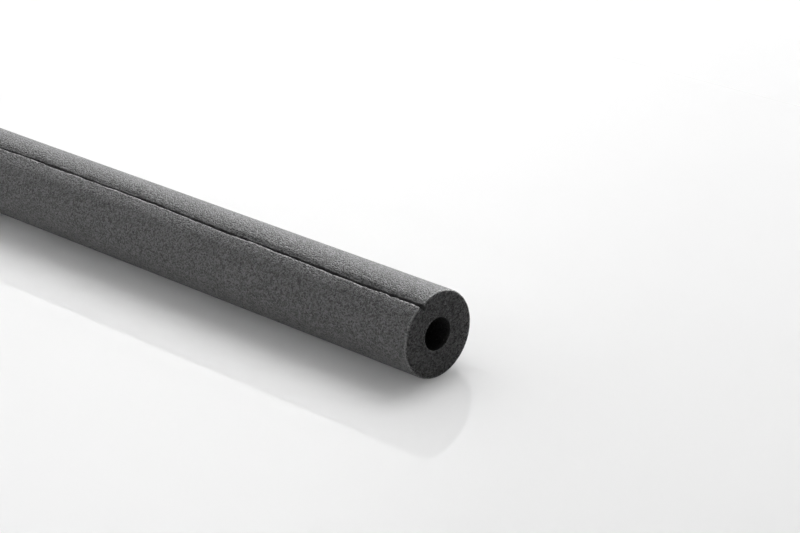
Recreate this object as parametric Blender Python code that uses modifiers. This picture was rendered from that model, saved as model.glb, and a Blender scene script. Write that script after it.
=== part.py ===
"""Foam pipe lagging: one straight length of closed-cell polyethylene foam tube.

The tube stands on its end on the plane Z = 0, with its axis on Z. Its section is a ring:
a round bore for the pipe, a thick wall, and a slit that is cut lengthwise into the wall,
so that the tube can be opened and pushed over a pipe in place.
"""
import math

import bmesh
import bpy

# Driving dimensions, in metres
PIPE_DIAMETER = 0.015  # the pipe that the tube is sold for
BORE_CLEARANCE = 0.001  # the bore is made this much wider than the pipe
WALL = 0.013
LENGTH = 1.0

# The end edges, softened as foam is where a hot wire or blade has cut it
OUTER_EDGE_RADIUS = 0.0009
BORE_EDGE_RADIUS = 0.0004
EDGE_STEPS = 3  # facets across a quarter round

# The slit, seen on the end face
SLIT_ANGLE = math.radians(-63.6)  # from +X towards +Y
SLIT_MOUTH = 0.0007  # width where the lips turn in
SLIT_LIP_RADIUS = 0.0005
SLIT_OPEN_DEPTH = 0.0032  # the part that gapes
SLIT_CLOSED_WIDTH = 0.00012  # below that the two sides nearly meet
SLIT_WEB = 0.002  # foam left uncut next to the bore

SIDES = 96  # facets round the tube
SHARP_ANGLE = math.radians(35)
OVERSHOOT = 0.002  # how far the slit's cutter runs past the ends and the skin

FOAM_COLOUR = (0.085, 0.086, 0.088, 1.0)
FOAM_ROUGHNESS = 0.92

# Worked out from the sizes above
BORE_RADIUS = (PIPE_DIAMETER + BORE_CLEARANCE) / 2
OUTER_RADIUS = BORE_RADIUS + WALL
SLIT_DEPTH = WALL - SLIT_WEB


def clear_scene():
    """Remove every object that the scene starts with."""
    for item in list(bpy.data.objects):
        bpy.data.objects.remove(item, do_unlink=True)


def new_collection(name):
    """Make a collection and link it to the scene."""
    collection = bpy.data.collections.new(name)
    bpy.context.scene.collection.children.link(collection)
    return collection


def foam_material():
    """Dark grey foam, matt all over."""
    material = bpy.data.materials.new("grey_foam")
    material.use_nodes = True
    shader = material.node_tree.nodes["Principled BSDF"]
    shader.inputs["Base Color"].default_value = FOAM_COLOUR
    shader.inputs["Roughness"].default_value = FOAM_ROUGHNESS
    shader.inputs["Metallic"].default_value = 0.0
    return material


def quarter_round(centre_radius, centre_height, size, start):
    """Points of a quarter circle, anticlockwise from the angle start, in a radius-height plane."""
    points = []
    for step in range(EDGE_STEPS + 1):
        angle = start + math.pi / 2 * step / EDGE_STEPS
        radius = centre_radius + size * math.cos(angle)
        height = centre_height + size * math.sin(angle)
        points.append((radius, height))
    return points


def wall_profile():
    """The wall cut lengthwise: a tall thin rectangle whose four corners are rounded."""
    skin = OUTER_RADIUS - OUTER_EDGE_RADIUS
    bore = BORE_RADIUS + BORE_EDGE_RADIUS
    profile = quarter_round(skin, LENGTH - OUTER_EDGE_RADIUS, OUTER_EDGE_RADIUS, 0)
    profile += quarter_round(bore, LENGTH - BORE_EDGE_RADIUS, BORE_EDGE_RADIUS, math.pi / 2)
    profile += quarter_round(bore, BORE_EDGE_RADIUS, BORE_EDGE_RADIUS, math.pi)
    profile += quarter_round(skin, OUTER_EDGE_RADIUS, OUTER_EDGE_RADIUS, math.pi * 3 / 2)
    profile.reverse()  # down the outer side, so that the turned faces point outwards
    return profile


def make_tube(collection):
    """Turn the wall's profile round the tube's axis."""
    mesh = bpy.data.meshes.new("foam_tube")
    outline = bmesh.new()
    corners = [outline.verts.new((radius, 0, height)) for radius, height in wall_profile()]
    for first, second in zip(corners, corners[1:] + corners[:1]):
        outline.edges.new((first, second))
    outline.to_mesh(mesh)
    outline.free()

    tube = bpy.data.objects.new("foam_tube", mesh)
    collection.objects.link(tube)
    screw = tube.modifiers.new("turn", "SCREW")
    screw.axis = "Z"
    screw.angle = math.tau
    screw.steps = SIDES
    screw.render_steps = SIDES
    screw.use_merge_vertices = True
    screw.merge_threshold = 0.00001
    return tube


def slit_outline():
    """The slit's section, drawn about the tube's axis and turned to the slit's angle.

    A knife cut with parallel sides runs up from the root. It gapes towards the mouth, and
    there each side turns over a small rounded lip.
    """
    root = OUTER_RADIUS - SLIT_DEPTH
    throat = OUTER_RADIUS - SLIT_OPEN_DEPTH
    lip_start = OUTER_RADIUS - SLIT_LIP_RADIUS
    side = [(root, SLIT_CLOSED_WIDTH / 2), (throat, SLIT_CLOSED_WIDTH / 2)]
    for step in range(EDGE_STEPS + 1):
        angle = math.pi / 2 * step / EDGE_STEPS
        depth = lip_start + SLIT_LIP_RADIUS * math.sin(angle)
        half_width = SLIT_MOUTH / 2 + SLIT_LIP_RADIUS * (1 - math.cos(angle))
        side.append((depth, half_width))
    side.append((OUTER_RADIUS + OVERSHOOT, side[-1][1]))
    mirrored = [(depth, -half_width) for depth, half_width in reversed(side)]
    along = math.cos(SLIT_ANGLE)
    up = math.sin(SLIT_ANGLE)
    return [(depth * along - across * up, depth * up + across * along)
            for depth, across in side + mirrored]


def evaluated_mesh(item):
    """What an object's curve or modifiers make, as a plain mesh."""
    graph = bpy.context.evaluated_depsgraph_get()
    return bpy.data.meshes.new_from_object(item.evaluated_get(graph))


def solid_from_curve(curve, collection):
    """Turn a filled curve into a welded mesh object, and remove the curve."""
    mesh = evaluated_mesh(curve)
    welded = bmesh.new()
    welded.from_mesh(mesh)
    bmesh.ops.remove_doubles(welded, verts=welded.verts, dist=0.000001)
    bmesh.ops.recalc_face_normals(welded, faces=welded.faces)
    welded.to_mesh(mesh)
    welded.free()
    solid = bpy.data.objects.new(curve.name + "_solid", mesh)
    solid.matrix_world = curve.matrix_world
    collection.objects.link(solid)
    bpy.data.objects.remove(curve, do_unlink=True)
    return solid


def make_slit_cutter(collection):
    """A tall thin prism with the slit's section, a little longer than the tube."""
    data = bpy.data.curves.new("slit", "CURVE")
    data.dimensions = "2D"
    data.fill_mode = "BOTH"
    data.extrude = LENGTH / 2 + OVERSHOOT
    outline = slit_outline()
    spline = data.splines.new("POLY")
    spline.points.add(len(outline) - 1)
    for point, (x, y) in zip(spline.points, outline):
        point.co = (x, y, 0, 1)
    spline.use_cyclic_u = True
    curve = bpy.data.objects.new("slit", data)
    collection.objects.link(curve)
    curve.location.z = LENGTH / 2
    bpy.context.view_layer.update()
    cutter = solid_from_curve(curve, collection)
    cutter.hide_render = True
    cutter.display_type = "WIRE"
    return cutter


def cut_slit(tube, cutter):
    """Cut the slit's prism out of the tube's wall."""
    boolean = tube.modifiers.new("slit", "BOOLEAN")
    boolean.operation = "DIFFERENCE"
    boolean.solver = "EXACT"
    boolean.object = cutter


def finish_tube(tube):
    """Keep what the modifiers made, and shade it smooth between its sharp edges."""
    mesh = evaluated_mesh(tube)
    tube.modifiers.clear()
    tube.data = mesh
    mesh.shade_smooth()
    mesh.set_sharp_from_angle(angle=SHARP_ANGLE)


def main():
    clear_scene()
    parts = new_collection("pipe_lagging")
    cutters = new_collection("cutters")
    tube = make_tube(parts)
    tube.data.materials.append(foam_material())
    cut_slit(tube, make_slit_cutter(cutters))
    finish_tube(tube)


main()
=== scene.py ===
# Foam pipe lagging, one length of closed-cell tube, dressed and lit for its picture
import math
import bpy
import numpy as np
from mathutils import Matrix, Vector


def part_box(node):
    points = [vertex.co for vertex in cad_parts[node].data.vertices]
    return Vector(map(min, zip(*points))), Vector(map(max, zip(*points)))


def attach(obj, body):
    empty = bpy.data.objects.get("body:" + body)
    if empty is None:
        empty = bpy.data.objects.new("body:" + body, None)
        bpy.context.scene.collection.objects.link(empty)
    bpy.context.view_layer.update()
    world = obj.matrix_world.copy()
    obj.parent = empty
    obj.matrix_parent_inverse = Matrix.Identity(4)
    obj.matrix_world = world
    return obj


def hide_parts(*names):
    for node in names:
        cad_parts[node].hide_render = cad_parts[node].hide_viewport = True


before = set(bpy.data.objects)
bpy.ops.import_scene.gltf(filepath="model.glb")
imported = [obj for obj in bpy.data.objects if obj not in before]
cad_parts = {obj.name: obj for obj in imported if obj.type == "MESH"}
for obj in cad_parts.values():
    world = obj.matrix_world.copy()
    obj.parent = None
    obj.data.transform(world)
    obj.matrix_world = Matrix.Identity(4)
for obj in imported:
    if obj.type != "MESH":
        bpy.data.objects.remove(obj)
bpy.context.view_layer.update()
mm = 0.001

tubeLow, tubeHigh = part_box("foam_tube")
skinRadius = (tubeHigh.x - tubeLow.x) / 2
tubeLength = tubeHigh.z - tubeLow.z
print("Frame loaded: a tube", round(tubeLength / mm), "mm long and", round(2 * skinRadius / mm), "mm across")


# The shape of the foam tube

foamTube = {
    "boreRadius": 7.9 * mm,
    "boreShift": (0.6 * mm, -0.6 * mm),  # the bore was never quite central
    "boreOval": 0.12 * mm,
    "boreOvalPhase": 0.4,
    "skinOval": 0.10 * mm,
    "skinOvalPhase": 0.7,
    "skinOvalTwist": 6,  # how fast that phase grows, for each metre up the tube
    "skinOvalStart": (0.05, 0.4),  # radians from the slit, between which the skin turns oval
    "endSlope": (-0.077, 0.024),  # the shown end was cut a little off square: its rise along X and along Y
    "endSlopeReach": 60 * mm,  # how far down the tube the rows lean with it
    "endRound": 1.1 * mm,
    "slitRoundShare": 0.12,  # how much of that rounding is left at the slit's root
    "boreRound": 0.35 * mm,
    # The slit
    "slitAngle": -66.0,  # degrees from +X towards +Y, half way through its wander
    "slitWander": 3.3,  # degrees to each side
    "slitWanderLength": 0.48,  # metres from one side to the other and back
    "slitWobble": 0.15 * mm,
    "slitWobbles": ((4.3 * mm, 1.0), (1.7 * mm, 0.6), (23 * mm, 1.6)),  # the length and strength of each
    "slitMouth": 2.1 * mm,
    "mouthUneven": 0.22,  # how much wider or narrower it may get, as a share
    "mouthWave": 3.1 * mm,
    "slitDepth": 4.2 * mm,
    "slitLips": (0.65 * mm, 0.45 * mm),  # the rounding of the lip nearer +X, and of the other
    "lipLifts": (0.30 * mm, -1.20 * mm),  # how far each lip stands out of the round
    "liftUneven": 0.3,
    "liftWave": 14 * mm,
    "lipReach": 2.3 * mm,  # how far round the skin that lift dies away
    "endGape": 0.22 * mm,  # how much further each lip stands back at the shown end
    "endGapeReach": 5 * mm,
    # Points
    "wallSteps": (0, 0.3, 0.6, 1.0),  # where they are on the slit's wall, from its root to the lip
    "lipColumns": 4,  # over each lip
    "lipHighlightColumns": 12,  # those from the slit's root to just past its first lip, where the painted lip highlight may go
    "columns": 180,  # round the skin, besides those in the slit
    "skinRows": 400,  # along the skin, closest together at the shown end
    "closeLength": 120 * mm,  # their spacing doubles over this length
    "edgeRows": 5,  # over each rounded edge
    "faceRings": 26,
    "boreRows": 22,
    # Foam cells
    "pebble": 0.95 * mm,  # the size of a cell on the skin
    "pebbleHeight": 0.05 * mm,
    "pebbleLevel": 0.7,  # the height on a dome that lies on the true surface
    "cutCell": 0.85 * mm,
    "cutDepth": 0.11 * mm,
    "cutLevel": 0.5,
    "cellSpacing": (0.9 * mm, 2.5 * mm),  # between these spacings of the rows the cells fade out
    "swell": 0.04 * mm,  # long slow unevenness of the skin
    "swellLevel": 0.6,
    "swellLength": 24 * mm,
    "swellFade": 0.6,  # it is gone at this share of the way from the skin to the bore
    # Where the masks run from 0 to 1
    "edgeTurn": (250, 1000),  # how sharply an edge turns, in radians for each metre
    "cutFacing": (0.80, 0.98),  # how squarely a cut face looks up or down
    "slitShadeFade": (0.3, 0.6),  # how far up the slit the painted shade fades out
    "lipStart": (0.55, 0.85),  # how far up the slit the lip, and its painted highlight, starts
    # The seed of each noise
    "seeds": {"mouth": 5, "lift": 8, "wobble": 11, "pebble": 21, "cut": 37, "swell": 3},
}

hashWeights = np.array([127.1, 311.7, 74.7])  # unlike numbers, so that neighbouring cells get unlike sums
hashSeedWeight = 53.9
hashSpread = 43758.5453


def smoothStep(low, high, x):
    # A cubic step: 0 below low, 1 above high, 3t2 - 2t3 in between, t running from low to high
    t = np.clip((x - low) / (high - low), 0, 1)
    return t * t * (3 - 2 * t)


def hashed(cells, seed):
    # A repeatable number from 0 to 1 for each whole-number cell: the sine of a weighted sum, times a large
    # number, of which the fraction is kept
    mixed = cells @ hashWeights + seed * hashSeedWeight
    return np.modf(np.abs(np.sin(mixed)) * hashSpread)[0]


def valueNoise(points, size, seed):
    # Smooth noise from -1 to 1: the hashed values of the 8 corners of a point's cell, blended by cubic steps
    scaled = points / size
    base = np.floor(scaled)
    blend = smoothStep(0, 1, scaled - base)
    total = np.zeros(len(points))
    for corner in np.ndindex(2, 2, 2):
        weight = np.prod(np.where(corner, blend, 1 - blend), axis=1)
        total += weight * hashed(base + corner, seed)
    return 2 * total - 1


def cellNoise(points, size, seed):
    # The distance, in cells, to the nearest of the points strewn one to each cell of a cubic grid
    scaled = points / size
    base = np.floor(scaled)
    nearest = np.full(len(points), np.inf)
    for step in np.ndindex(3, 3, 3):
        cell = base + np.array(step) - 1
        strewn = cell + np.stack([hashed(cell, seed + axis) for axis in range(3)], axis=1)
        nearest = np.minimum(nearest, np.linalg.norm(scaled - strewn, axis=1))
    return nearest


def wave(x, length, seed):
    # Noise along a line, from -1 to 1: the same blended hash, on points that lie along one axis
    x = np.asarray(x, float)
    line = np.stack([x.ravel(), np.zeros(x.size), np.zeros(x.size)], axis=1)
    return valueNoise(line, length, seed).reshape(x.shape)


def slitPath(v, height, lip, lift):
    # One side of the slit in its section, root to skin, for each height: radius and angle from the slit's
    # middle. The wall opens as the root of the way up, then a quarter circle turns over the lip.
    uneven = 1 + v["mouthUneven"] * wave(height, v["mouthWave"], v["seeds"]["mouth"])
    nearEnd = np.exp(-(tubeHigh.z - height) / v["endGapeReach"])
    half = v["slitMouth"] / 2 * uneven + v["endGape"] * nearEnd
    up = np.array(v["wallSteps"])
    top = skinRadius + lift[:, None]
    root = skinRadius - v["slitDepth"]
    turn = np.linspace(0, math.pi / 2, v["lipColumns"] + 1)[1:]
    wallRadius = root + up * (top - lip - root)
    lipRadius = top - lip * (1 - np.sin(turn))
    across = np.concatenate([half[:, None] * np.sqrt(up), half[:, None] + lip * (1 - np.cos(turn))], axis=1)
    radius = np.concatenate([wallRadius, lipRadius], axis=1)
    return radius, np.arctan2(across, radius)


def skinSection(v, height):
    # The skin's radius and angle at each height (rows) and column. The columns start at the slit's root, go
    # up one side, round the tube and back down the other side. The angle is counted from the slit's middle.
    # Each lip is lifted or sunk, and that dies away round the skin as exp(-distance / reach).
    uneven = 1 + v["liftUneven"] * wave(height, v["liftWave"], v["seeds"]["lift"])
    lifts = [lift * uneven for lift in v["lipLifts"]]
    (firstRadius, first), (lastRadius, last) = (
        slitPath(v, height, lip, lift) for lip, lift in zip(v["slitLips"], lifts))
    ends = first[:, -1:], 2 * math.pi - last[:, -1:]
    around = ends[0] + (ends[1] - ends[0]) * np.linspace(0, 1, v["columns"] + 2)[1:-1]
    phase = v["skinOvalPhase"] + v["skinOvalTwist"] * height[:, None]
    fromSlit = np.minimum(around, 2 * math.pi - around)
    oval = v["skinOval"] * np.cos(2 * around + phase) * smoothStep(*v["skinOvalStart"], fromSlit)
    skin = skinRadius + oval
    for end, lift in zip(ends, lifts):
        skin = skin + lift[:, None] * np.exp(-np.abs(around - end) * skinRadius / v["lipReach"])
    angle = np.concatenate([first, around, 2 * math.pi - last[:, :0:-1]], axis=1)
    return np.concatenate([firstRadius, skin, lastRadius[:, :0:-1]], axis=1), angle


def slitTurn(v, height):
    # Where the slit's middle is at each height, in radians: it wanders as a cosine, and wobbles a little
    along = (tubeHigh.z - height) / v["slitWanderLength"]
    wander = np.radians(v["slitAngle"] + v["slitWander"] * np.cos(2 * math.pi * along))
    wobble = sum(strength * wave(height, length, seed)
                 for seed, (length, strength) in enumerate(v["slitWobbles"], v["seeds"]["wobble"]))
    return wander + wobble * v["slitWobble"] / skinRadius


def wallLoop(v):
    # The path once round the wall's section, as five arrays with a value for each row: up the skin, over the
    # shown end, down the bore and back over the lower end. blend runs from 0 at the skin to 1 at the bore,
    # and skinIn and boreIn are how far a row stands in from them, as a share of their roundings. A row's
    # height drops by down times the skin's rounding, where down is up to 1 at the high end and -1 at the low.
    high, low = tubeHigh.z, tubeLow.z
    straight = high - low - 2 * v["endRound"]
    growth = (1 + straight / v["closeLength"]) ** np.linspace(1, 0, v["skinRows"])
    skin = high - v["endRound"] - v["closeLength"] * (growth - 1)
    ring = np.linspace(0, 1, v["faceRings"] + 2)[1:-1]
    turn = np.linspace(0, math.pi / 2, v["edgeRows"] + 1)
    into, back = turn[1:], turn[:-1]
    boreLength = high - low - 2 * v["boreRound"]
    bore = high - v["boreRound"] - boreLength * np.linspace(0, 1, v["boreRows"]) ** 2
    stretches = [  # blend, skinIn, boreIn, height, down
        (0, 0, 0, skin, 0),
        (0, 1 - np.cos(into), 0, high, 1 - np.sin(into)),
        (ring, 1, 1, high, 0),
        (1, 0, 1 - np.sin(back), high - v["boreRound"] * (1 - np.cos(back)), 0),
        (1, 0, 0, bore, 0),
        (1, 0, 1 - np.cos(into), low + v["boreRound"] * (1 - np.sin(into)), 0),
        (ring[::-1], 1, 1, low, 0),
        (0, 1 - np.sin(back), 0, low, np.cos(back) - 1),
    ]
    filled = [np.broadcast_arrays(*map(np.atleast_1d, stretch)) for stretch in stretches]
    return [np.concatenate(parts) for parts in zip(*filled)]


def tubeSurface(v):
    # The whole tube as one closed surface of two parameters, the way round it (columns) and the way once
    # round its wall (rows): radius = (1 - blend) (skin - rounding) + blend (bore + rounding). The shown end
    # leans as x times one slope plus y times the other, with its highest edge at the tube's full length.
    # upSlit is 0 at the slit's root and 1 at the skin.
    blend, skinIn, boreIn, height, down = wallLoop(v)
    skin, angle = skinSection(v, height)
    upSlit = smoothStep(skinRadius - v["slitDepth"], skinRadius, skin)
    rounding = v["endRound"] * (v["slitRoundShare"] + (1 - v["slitRoundShare"]) * upSlit)
    turned = angle + slitTurn(v, height)[:, None]
    bore = v["boreRadius"] + v["boreOval"] * np.cos(2 * turned + v["boreOvalPhase"])
    k = blend[:, None]
    radius = (1 - k) * (skin - rounding * skinIn[:, None]) + k * (bore + v["boreRound"] * boreIn[:, None])
    x = radius * np.cos(turned) + k * v["boreShift"][0]
    y = radius * np.sin(turned) + k * v["boreShift"][1]
    z = height[:, None] - rounding * down[:, None]
    slopeX, slopeY = v["endSlope"]
    lean = smoothStep(tubeHigh.z - v["endSlopeReach"], tubeHigh.z, height)[:, None]
    z = z + lean * (x * slopeX + y * slopeY - skinRadius * math.hypot(slopeX, slopeY))
    return np.stack([x, y, z], axis=2), blend, upSlit


def gridTangents(points):
    # The steps from the point before to the point after, down the rows and along the columns, of a grid
    # that closes both ways
    return (np.roll(points, -1, axis=0) - np.roll(points, 1, axis=0),
            np.roll(points, -1, axis=1) - np.roll(points, 1, axis=1))


def gridNormals(points):
    # The normal at each point: the cross product of its two tangents, brought to length 1
    down, along = gridTangents(points)
    normal = np.cross(along, down)
    return normal / np.maximum(np.linalg.norm(normal, axis=2, keepdims=True), 1e-12)


def edgeMask(v, points, normal):
    # 1 where the surface turns over an edge: the turn of the normal for each metre walked, along the way in
    # which it is sharper
    turns = [np.sum(n * p, axis=2) / np.maximum(np.sum(p * p, axis=2), 1e-12)
             for n, p in zip(gridTangents(normal), gridTangents(points))]
    return smoothStep(*v["edgeTurn"], np.maximum(*turns))


def roughen(v, points, blend, upSlit):
    # Moves each point along its normal: low domes on the skin, where a cell is 1 - distance squared, pits
    # on the cut ends, and a slow swell. The cells fade out where the rows are too far apart to carry them.
    # Also works out the masks that the material reads, among them where it paints highlight on edges and the
    # near lip, and shade in the bore and deep in the slit.
    normal = gridNormals(points)
    flat = points.reshape(-1, 3)
    cut = smoothStep(*v["cutFacing"], np.abs(normal[:, :, 2]))
    uncut = 1 - cut
    spacing = np.linalg.norm(np.roll(points, -1, axis=0) - points, axis=2)
    carried = 1 - smoothStep(*v["cellSpacing"], spacing)
    domes = 1 - cellNoise(flat, v["pebble"], v["seeds"]["pebble"]).reshape(cut.shape) ** 2
    pits = cellNoise(flat, v["cutCell"], v["seeds"]["cut"]).reshape(cut.shape)
    swell = valueNoise(flat, v["swellLength"], v["seeds"]["swell"]).reshape(cut.shape)
    onSkin = uncut * v["pebbleHeight"] * (domes - v["pebbleLevel"])
    onCut = cut * v["cutDepth"] * (pits - v["cutLevel"])
    outside = (1 - smoothStep(0, v["swellFade"], blend))[:, None] * upSlit * uncut
    lift = carried * (onSkin + onCut) * upSlit + outside * v["swell"] * (swell - v["swellLevel"])

    # The edge mask also carries a painted highlight: the material lightens every sharply rounded edge
    edge = edgeMask(v, points, normal)
    # Painted shade: the bore and the depths of the slit are marked here to be darkened in the material
    inBore = (blend == 1)[:, None]
    paintedShade = np.maximum(inBore, 1 - smoothStep(*v["slitShadeFade"], upSlit)) * uncut
    # Painted highlight: the rounded near lip of the slit is marked here to be lightened in the material
    firstLip = np.arange(points.shape[1]) < v["lipHighlightColumns"]
    lip = edge * firstLip * smoothStep(*v["lipStart"], upSlit) * uncut
    return points + normal * lift[:, :, None], {"cut": cut, "edge": edge, "paintedShade": paintedShade, "lip": lip}


def gridMesh(name, points, masks):
    # A mesh of four-sided faces from a grid that closes both ways, with each mask stored as a number for
    # each point
    rows, columns = points.shape[:2]
    index = np.arange(rows * columns).reshape(rows, columns)
    below, beside = np.roll(index, -1, axis=0), np.roll(index, -1, axis=1)
    across = np.roll(below, -1, axis=1)
    faces = np.stack([index, beside, across, below], axis=2).reshape(-1, 4)
    mesh = bpy.data.meshes.new(name)
    mesh.vertices.add(rows * columns)
    mesh.vertices.foreach_set("co", points.astype(np.float32).ravel())
    mesh.loops.add(faces.size)
    mesh.loops.foreach_set("vertex_index", faces.astype(np.int32).ravel())
    mesh.polygons.add(len(faces))
    mesh.polygons.foreach_set("loop_start", np.arange(0, faces.size, 4, dtype=np.int32))
    mesh.update(calc_edges=True)
    mesh.validate()
    mesh.shade_smooth()
    for key, values in masks.items():
        stored = mesh.attributes.new(key, "FLOAT", "POINT")
        stored.data.foreach_set("value", values.astype(np.float32).ravel())
    return mesh


def makeTube(v):
    # The smooth surface first, then its cells and masks, then the mesh
    points, blend, upSlit = tubeSurface(v)
    points, masks = roughen(v, points, blend, upSlit)
    mesh = gridMesh("foamTube", points, masks)
    tube = bpy.data.objects.new("foamTube", mesh)
    bpy.context.scene.collection.objects.link(tube)
    print("Foam tube made:", len(mesh.polygons) * 2, "triangles")
    return tube


# The foam's look

foamLook = {
    "colour": (0.144, 0.144, 0.145),
    "cutColour": (0.079, 0.079, 0.080),  # open cells hold the light
    # painted highlight: rounded edges made lighter, as where they would catch the light
    "paintedEdgeHighlight": 1.9,
    "paintedLipHighlight": 1.4,  # painted highlight along the near lip of the slit
    "shadeInHollows": 0.2,  # painted shade in the bore and deep in the slit
    "skinCell": 0.68 * mm,
    "skinSeed": 0.0,
    "cutCell": 0.82 * mm,
    "cutSeed": 7.0,
    "skinBump": 1.5 * mm,  # how high the cells look
    "cutBump": 2.5 * mm,
    "skinTone": 0.7,  # how much lighter and darker the cells are
    "cutTone": 1.0,
    "toneRange": (0.2, 0.8),  # the cells beyond these are the darkest and the lightest
    "roughness": 0.44,
    "cutRoughness": 0.85,
}

foamCells = {
    "layers": (1.0, 2.1),  # the cells, and how many times finer those of the second layer are
    "fineHeight": 0.45,  # how much of the second layer is in the height
    "fineTone": 0.4,
    "warp": 0.6,  # how far noise shifts the cells out of their grid
    "warpScale": 0.8,
    "warpDetail": 2.0,
}


def newGroup(name, inputs, outputs):
    # A shader node group with its inputs (name, kind, value) and outputs (name, kind)
    group = bpy.data.node_groups.new(name, "ShaderNodeTree")
    for label, kind, value in inputs:
        socket = group.interface.new_socket(label, in_out="INPUT", socket_type=kind)
        if value is not None:
            socket.default_value = value
    for label, kind in outputs:
        group.interface.new_socket(label, in_out="OUTPUT", socket_type=kind)
    return group, group.nodes.new("NodeGroupInput"), group.nodes.new("NodeGroupOutput")


def feed(tree, socket, value):
    # A number or colour is set on the socket, and anything else is linked to it
    if isinstance(value, bpy.types.NodeSocket):
        tree.links.new(value, socket)
    else:
        socket.default_value = value


def mathNode(tree, operation, *values):
    node = tree.nodes.new("ShaderNodeMath")
    node.operation = operation
    for socket, value in zip(node.inputs, values):
        feed(tree, socket, value)
    return node.outputs[0]


def vectorNode(tree, operation, *values, scale=None):
    node = tree.nodes.new("ShaderNodeVectorMath")
    node.operation = operation
    for socket, value in zip(node.inputs, values):
        feed(tree, socket, value)
    if scale is not None:
        feed(tree, node.inputs["Scale"], scale)
    return node.outputs[0]


def mixNode(tree, kind, factor, first, second):
    # kind is FLOAT or RGBA, whose sockets stand at different places on Blender's Mix node
    node = tree.nodes.new("ShaderNodeMix")
    node.data_type = kind
    at = {"FLOAT": 2, "RGBA": 6}[kind]
    feed(tree, node.inputs[0], factor)
    feed(tree, node.inputs[at], first)
    feed(tree, node.inputs[at + 1], second)
    return node.outputs[{"FLOAT": 0, "RGBA": 2}[kind]]


def rangeNode(tree, value, low, high, start=0.0, end=1.0):
    # As value runs from start to end, the result runs from low to high
    node = tree.nodes.new("ShaderNodeMapRange")
    feed(tree, node.inputs["Value"], value)
    for label, number in (("From Min", start), ("From Max", end), ("To Min", low), ("To Max", high)):
        node.inputs[label].default_value = number
    return node.outputs[0]


def foamCellsGroup(v):
    # Closed cells packed together. Height is a dome over each cell, 1 - distance squared, cut by the creases
    # between them. Tone is a number for each cell. Both carry a second layer of cells at about half the size.
    inputs = [
        ("Vector", "NodeSocketVector", None),
        ("Cell Size", "NodeSocketFloat", mm),
        ("Seed", "NodeSocketFloat", 0.0),
    ]
    outputs = [("Height", "NodeSocketFloat"), ("Tone", "NodeSocketFloat")]
    group, given, out = newGroup("foamCells", inputs, outputs)
    perMetre = mathNode(group, "DIVIDE", 1.0, given.outputs["Cell Size"])
    scaled = vectorNode(group, "SCALE", given.outputs["Vector"], scale=perMetre)
    place = vectorNode(group, "ADD", scaled, given.outputs["Seed"])
    noise = group.nodes.new("ShaderNodeTexNoise")
    noise.inputs["Scale"].default_value = v["warpScale"]
    noise.inputs["Detail"].default_value = v["warpDetail"]
    group.links.new(place, noise.inputs["Vector"])
    place = vectorNode(group, "MULTIPLY_ADD", noise.outputs["Color"], [v["warp"]] * 3, place)

    heights, tones = [], []
    for scale in v["layers"]:
        cells = group.nodes.new("ShaderNodeTexVoronoi")
        cells.inputs["Scale"].default_value = scale
        group.links.new(place, cells.inputs["Vector"])
        squared = mathNode(group, "POWER", cells.outputs["Distance"], 2.0)
        heights.append(mathNode(group, "SUBTRACT", 1.0, squared))
        split = group.nodes.new("ShaderNodeSeparateColor")
        group.links.new(cells.outputs["Color"], split.inputs[0])
        tones.append(split.outputs[0])
    height = mathNode(group, "MULTIPLY_ADD", heights[1], v["fineHeight"], heights[0])
    feed(group, out.inputs["Height"], height)
    feed(group, out.inputs["Tone"], mixNode(group, "FLOAT", v["fineTone"], tones[0], tones[1]))
    return group


def foamMaterial(v, cellsGroup):
    # The skin and the cut ends have a colour, roughness and bump each, mixed by the mask cut. The tone of
    # each cell makes it lighter or darker; on top, a painted highlight lightens the edges and the near lip,
    # and painted shade darkens the bore and the depths of the slit.
    material = bpy.data.materials.new("greyFoam")
    material.use_nodes = True
    tree = material.node_tree
    shader = tree.nodes["Principled BSDF"]
    place = tree.nodes.new("ShaderNodeTexCoord").outputs["Object"]
    masks = []
    for key in ("cut", "edge", "paintedShade", "lip"):
        mask = tree.nodes.new("ShaderNodeAttribute")
        mask.attribute_name = key
        masks.append(mask.outputs["Fac"])
    cut, edge, paintedShade, lip = masks

    cells = []
    for size, seed in ((v["skinCell"], v["skinSeed"]), (v["cutCell"], v["cutSeed"])):
        node = tree.nodes.new("ShaderNodeGroup")
        node.node_tree = cellsGroup
        node.inputs["Cell Size"].default_value = size
        node.inputs["Seed"].default_value = seed
        tree.links.new(place, node.inputs["Vector"])
        cells.append(node)

    tones = [rangeNode(tree, node.outputs["Tone"], 1 - change, 1 + change, *v["toneRange"])
             for node, change in zip(cells, (v["skinTone"], v["cutTone"]))]
    tone = mixNode(tree, "FLOAT", cut, *tones)
    # Painted light on the tone: a highlight on edges and the near lip, shade in the bore and deep in the slit
    for mask, change in ((edge, v["paintedEdgeHighlight"]), (paintedShade, v["shadeInHollows"]), (lip, v["paintedLipHighlight"])):
        tone = mathNode(tree, "MULTIPLY", tone, rangeNode(tree, mask, 1.0, change))
    colour = mixNode(tree, "RGBA", cut, (*v["colour"], 1), (*v["cutColour"], 1))
    tree.links.new(vectorNode(tree, "SCALE", colour, scale=tone), shader.inputs["Base Color"])
    roughness = mixNode(tree, "FLOAT", cut, v["roughness"], v["cutRoughness"])
    tree.links.new(roughness, shader.inputs["Roughness"])

    bump = tree.nodes.new("ShaderNodeBump")
    bump.inputs["Strength"].default_value = 1.0
    bump.inputs["Distance"].default_value = 1.0
    domes = mathNode(tree, "MULTIPLY", cells[0].outputs["Height"], v["skinBump"])
    pits = mathNode(tree, "MULTIPLY", cells[1].outputs["Height"], -v["cutBump"])
    tree.links.new(mixNode(tree, "FLOAT", cut, domes, pits), bump.inputs["Height"])
    tree.links.new(bump.outputs[0], shader.inputs["Normal"])
    print("Foam material made")
    return material


# The studio

camera = {
    "place": (0.67097, -0.47982, 1.56548),
    "aim": (0.00046, -0.02783, 0.97716),
    "up": (0, -1, 0),  # away from the board that the tube stands against
    "roll": -2.0,  # degrees
    "lens": 101.1,
    "sensor": 36,
}

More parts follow.
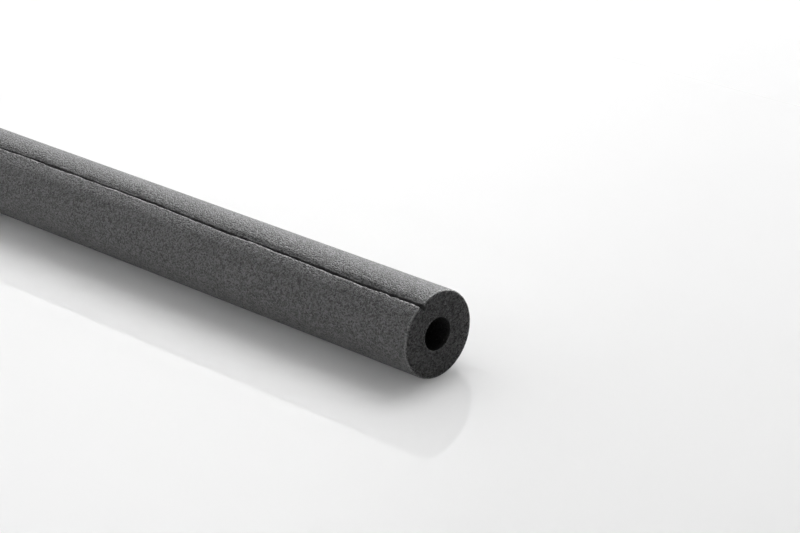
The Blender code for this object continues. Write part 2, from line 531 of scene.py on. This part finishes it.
studio = {
    "floorSize": 5.0,
    "boardSize": (5.0, 4.0),  # its width and height
    "pale": 0.94,
    "gloss": 0.03,  # the roughness near the tube
    "matt": 0.8,  # the roughness away from it
    "glossReach": (250 * mm, 600 * mm),  # where one starts to turn into the other and ends
    "glow": 36 * mm,  # how far light creeps within the board
    "glowReach": (70 * mm, 140 * mm),  # where that starts to fade and ends, to each side of the tube
    "sky": 0.10,  # the light from all round
    "skySeen": 0.92,  # how pale it looks
    "boxDistance": 1.6,
    "boxHeight": 0.85,
    "boxTall": 0.7,
    "tubeBoxes": {  # they light the tube alone: degrees round it from +X towards -Y, width, power
        "front": (48, 0.5, 8.4),
        "rim": (142, 0.5, 53.0),
        "low": (174, 0.5, 24.0),
        "back": (216, 0.5, 16.0),
    },
    "boardBoxes": {  # they light the board and the floor alone
        "side": (40, 0.5, 2.6),
        "above": (118, 0.9, 17.8),
    },
    "fillHeight": 5.0,  # one more above it all lights the floor alone
    "fillSize": 5.0,
    "fillPower": 300,
}


def aimed(item, place, aim, up, roll=0.0):
    # Turns an item so that its -Z looks from place to aim, with its +Y as near up as can be, then rolls it
    look = (Vector(aim) - Vector(place)).normalized()
    right = look.cross(Vector(up)).normalized()
    above = right.cross(look)
    rolledRight = right * math.cos(roll) + above * math.sin(roll)
    rolledUp = above * math.cos(roll) - right * math.sin(roll)
    turn = Matrix((rolledRight, rolledUp, -look)).transposed()
    item.matrix_world = Matrix.Translation(place) @ turn.to_4x4()


def makeCamera(v):
    data = bpy.data.cameras.new("camera")
    data.lens = v["lens"]
    data.sensor_width = v["sensor"]
    item = bpy.data.objects.new("camera", data)
    bpy.context.scene.collection.objects.link(item)
    aimed(item, v["place"], v["aim"], v["up"], math.radians(v["roll"]))
    bpy.context.scene.camera = item
    print("Camera placed")


def rectangle(name, corner, first, second):
    # A flat four-cornered sheet: corner, corner + first, corner + first + second, corner + second
    corner, first, second = (np.array(x, float) for x in (corner, first, second))
    mesh = bpy.data.meshes.new(name)
    mesh.from_pydata([corner, corner + first, corner + first + second, corner + second], [], [(0, 1, 2, 3)])
    item = bpy.data.objects.new(name, mesh)
    bpy.context.scene.collection.objects.link(item)
    return item


def paleMaterial(v):
    # Pale and glossy in front, and clear from behind, so that the object shows from every side. Light creeps
    # within it where the tube's shadow falls, as in white acrylic.
    material = bpy.data.materials.new("paleBoard")
    material.use_nodes = True
    tree = material.node_tree
    shader = tree.nodes["Principled BSDF"]
    shader.inputs["Base Color"].default_value = (*[v["pale"]] * 3, 1)
    shader.subsurface_method = "BURLEY"
    shader.inputs["Subsurface Radius"].default_value = (1, 1, 1)
    shader.inputs["Subsurface Scale"].default_value = v["glow"]
    split = tree.nodes.new("ShaderNodeSeparateXYZ")
    tree.links.new(tree.nodes.new("ShaderNodeTexCoord").outputs["Object"], split.inputs[0])
    away = mathNode(tree, "ABSOLUTE", split.outputs["X"])
    tree.links.new(rangeNode(tree, away, 1.0, 0.0, *v["glowReach"]), shader.inputs["Subsurface Weight"])
    tree.links.new(rangeNode(tree, away, v["gloss"], v["matt"], *v["glossReach"]), shader.inputs["Roughness"])
    clear = tree.nodes.new("ShaderNodeBsdfTransparent")
    mix = tree.nodes.new("ShaderNodeMixShader")
    tree.links.new(tree.nodes.new("ShaderNodeNewGeometry").outputs["Backfacing"], mix.inputs[0])
    tree.links.new(shader.outputs[0], mix.inputs[1])
    tree.links.new(clear.outputs[0], mix.inputs[2])
    tree.links.new(mix.outputs[0], tree.nodes["Material Output"].inputs["Surface"])
    return material


def makeSky(v):
    # One even sky, dim as a light and pale to look at
    world = bpy.data.worlds.new("studio")
    bpy.context.scene.world = world
    world.use_nodes = True
    tree = world.node_tree
    seen = tree.nodes.new("ShaderNodeLightPath").outputs["Is Camera Ray"]
    background = tree.nodes["Background"]
    background.inputs["Color"].default_value = (1, 1, 1, 1)
    tree.links.new(mixNode(tree, "FLOAT", seen, v["sky"], v["skySeen"]), background.inputs["Strength"])


def softbox(name, place, aim, size, power, lit):
    # A flat light that the camera doesn't see. It falls only on the pieces in lit.
    light = bpy.data.lights.new(name, "AREA")
    light.shape = "RECTANGLE"
    light.size, light.size_y = size
    light.energy = power
    item = bpy.data.objects.new(name, light)
    bpy.context.scene.collection.objects.link(item)
    nearlyUp = (0, 0.01, 1)  # a box that looks straight down can't have its top straight up
    aimed(item, place, aim, nearlyUp)
    item.visible_camera = False
    item.light_linking.receiver_collection = bpy.data.collections.new(name)
    for piece in lit:
        item.light_linking.receiver_collection.objects.link(piece)
    return item


def makeStudio(v, tube):
    size = v["floorSize"]
    wide, tall = v["boardSize"]
    floor = rectangle("floor", (-size / 2, -size / 2, 0), (size, 0, 0), (0, size, 0))
    board = rectangle("board", (-wide / 2, skinRadius, 0), (wide, 0, 0), (0, 0, tall))
    pale = paleMaterial(v)
    for item in (floor, board):
        item.data.materials.append(pale)
    makeSky(v)
    far, high = v["boxDistance"], v["boxHeight"]
    for boxes, lit in ((v["tubeBoxes"], [tube]), (v["boardBoxes"], [floor, board])):
        for name, (degrees, width, power) in boxes.items():
            turn = math.radians(degrees)
            place = (far * math.cos(turn), -far * math.sin(turn), high)
            box = softbox(name, place, (0, 0, high), (width, v["boxTall"]), power, lit)
            box.visible_glossy = tube in lit  # no bright boxes mirrored in the board
            if tube in lit:  # and the board casts no shadow on the tube
                box.light_linking.blocker_collection = box.light_linking.receiver_collection
    above = (0, 0, v["fillHeight"])
    fill = softbox("fill", above, (0, 0, 0), [v["fillSize"]] * 2, v["fillPower"], [floor])
    fill.visible_glossy = False
    bpy.context.scene.view_settings.view_transform = "Standard"
    print("Studio set")


tube = makeTube(foamTube)
tube.data.materials.append(foamMaterial(foamLook, foamCellsGroup(foamCells)))
makeCamera(camera)
makeStudio(studio, tube)
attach(tube, "root")
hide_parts("foam_tube")
